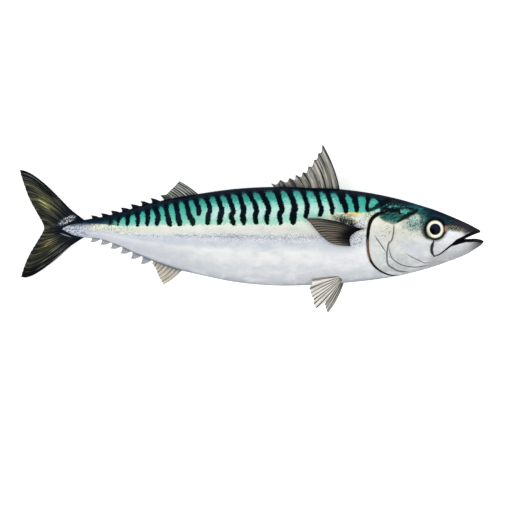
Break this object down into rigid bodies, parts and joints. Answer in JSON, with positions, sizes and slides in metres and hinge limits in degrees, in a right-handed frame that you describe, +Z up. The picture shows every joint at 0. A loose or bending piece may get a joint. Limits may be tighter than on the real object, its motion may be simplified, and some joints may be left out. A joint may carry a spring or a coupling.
{
  "type": "mackerel",
  "caption": "Whole fresh Atlantic mackerel lying on its flank, with barred green-blue back, silver belly, forked tail, fins and finlets, mouth a little open.",
  "frame": {"origin": "middle of the fish's bounding box, on the surface that it lies on", "axes": "+X from the tail to the snout, +Y towards the back, +Z up, out of the right flank; the fish lies on its left flank"},
  "size_m": [0.334, 0.121, 0.0452],
  "materials": {
    "skin": "wet, glossy fish skin: dark barred green-blue back, cream-white flank, silver belly",
    "eye": "wet and clear, near-black pupil in a cream ring",
    "grey_fin": "thin satin web between darker rays",
    "dark_fin": "thin satin web between darker rays, olive to black",
    "pale_fin": "thin satin web, cream with grey-brown rays",
    "back_fin": "thin satin web, blue-black"
  },
  "bodies": {
    "root": {"body": "skin", "eye_right": "eye", "eye_left": "eye", "first_dorsal_fin": "grey_fin", "second_dorsal_fin": "grey_fin", "caudal_fin": "dark_fin", "pectoral_fin_right": "dark_fin", "pectoral_fin_left": "dark_fin", "anal_fin": "pale_fin", "pelvic_fin_right": "pale_fin", "pelvic_fin_left": "pale_fin", "dorsal_finlet_1": "back_fin", "dorsal_finlet_2": "back_fin", "dorsal_finlet_3": "back_fin", "dorsal_finlet_4": "back_fin", "dorsal_finlet_5": "back_fin", "dorsal_finlet_6": "back_fin", "dorsal_finlet_7": "back_fin", "anal_finlet_1": "pale_fin", "anal_finlet_2": "pale_fin", "anal_finlet_3": "pale_fin", "anal_finlet_4": "pale_fin", "anal_finlet_5": "pale_fin", "anal_finlet_6": "pale_fin"}
  },
  "joints": []
}
